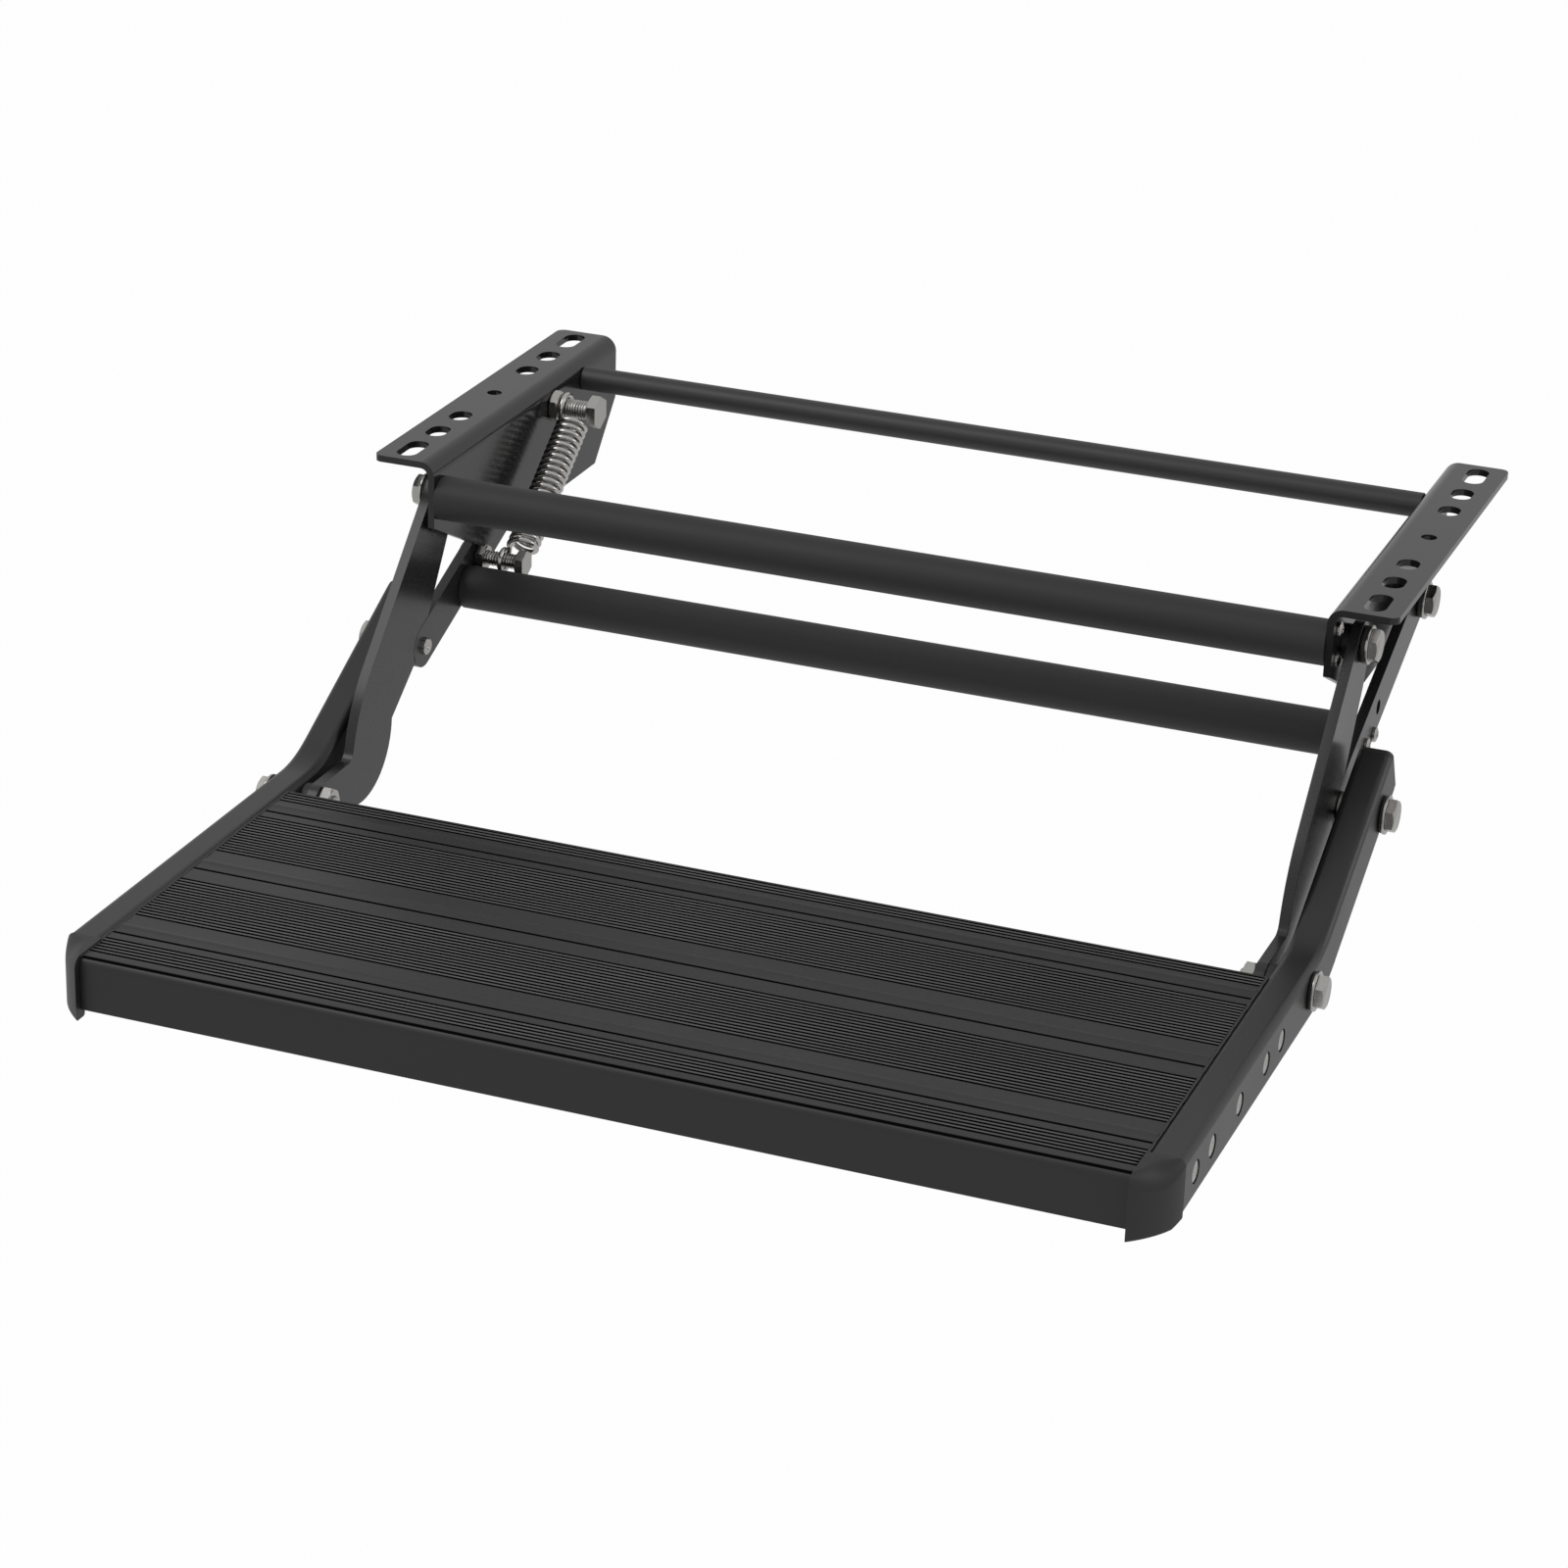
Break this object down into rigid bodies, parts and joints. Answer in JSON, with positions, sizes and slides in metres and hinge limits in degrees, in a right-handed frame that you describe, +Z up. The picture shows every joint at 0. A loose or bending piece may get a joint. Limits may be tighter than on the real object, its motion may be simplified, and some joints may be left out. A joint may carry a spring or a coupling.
{
  "type": "folding rv step",
  "caption": "Folding entry step for a caravan or motorhome: slotted side brackets, swing arms, cross tubes, return spring and a ribbed tread board between side rails.",
  "frame": {"origin": "in the mounting plane on top of the two bracket flanges, midway between their small centre holes", "axes": "+X to the right seen from in front of the step, -Y to the front where a person steps on, +Z up out of the mounting plane"},
  "size_m": [0.6288, 0.6615, 0.187],
  "materials": {
    "frame_coat": "satin black coat",
    "arm_coat": "satin black coat",
    "rail_coat": "satin black coat",
    "tube_anodised": "satin black anodised",
    "tread_anodised": "satin black anodised",
    "zinc": "bright zinc plated",
    "spring_wire": "bright drawn wire",
    "cap_plastic": "matt black",
    "bush_plastic": "matt black"
  },
  "bodies": {
    "bracket_frame": {"bracket_left": "frame_coat", "bracket_right": "frame_coat", "rear_cross_rod": "frame_coat", "front_cross_tube": "tube_anodised", "front_tube_screws": "zinc", "upper_pivot_bolts": "zinc", "upper_pivot_washers": "zinc", "upper_pivot_bushes": "bush_plastic", "upper_pivot_spacers": "bush_plastic", "spring_upper_bolt": "zinc", "spring_upper_nut": "zinc", "extension_spring": "spring_wire"},
    "front_arms": {"front_arm_left": "arm_coat", "front_arm_right": "arm_coat"},
    "rear_arms": {"rear_arm_left": "arm_coat", "rear_arm_right": "arm_coat", "lower_cross_tube": "tube_anodised", "lower_tube_screws": "zinc", "rear_arm_pins": "zinc", "spring_lower_bolt": "zinc", "spring_lower_nuts": "zinc"},
    "tread": {"tread_board": "tread_anodised", "side_rail_left": "rail_coat", "side_rail_right": "rail_coat", "front_cap_left": "cap_plastic", "front_cap_right": "cap_plastic", "rail_end_caps": "cap_plastic", "rail_screws": "zinc", "lower_pivot_bolts": "zinc", "lower_pivot_washers": "zinc", "lower_pivot_bushes": "bush_plastic", "lower_pivot_spacers": "bush_plastic", "lower_pivot_nuts": "zinc"}
  },
  "joints": [
    {"name": "fold", "type": "hinge", "parent": "bracket_frame", "child": "front_arms", "pos_m": [0, -0.105, -0.0285], "axis": [1, 0, 0], "range_deg": [0, 104]},
    {"name": "rear_arms_swing", "type": "hinge", "parent": "bracket_frame", "child": "rear_arms", "pos_m": [0, 0.032, -0.05], "axis": [1, 0, 0], "range_deg": [0, 140.51], "deforming": ["extension_spring"]},
    {"name": "tread_swing", "type": "hinge", "parent": "front_arms", "child": "tread", "pos_m": [0, -0.264, -0.164], "axis": [1, 0, 0], "range_deg": [-104.06, 0]}
  ],
  "couplings": [
    {"joint": "rear_arms_swing", "follows": "fold", "ratio": 1.351},
    {"joint": "tread_swing", "follows": "fold", "ratio": -1.0005}
  ]
}
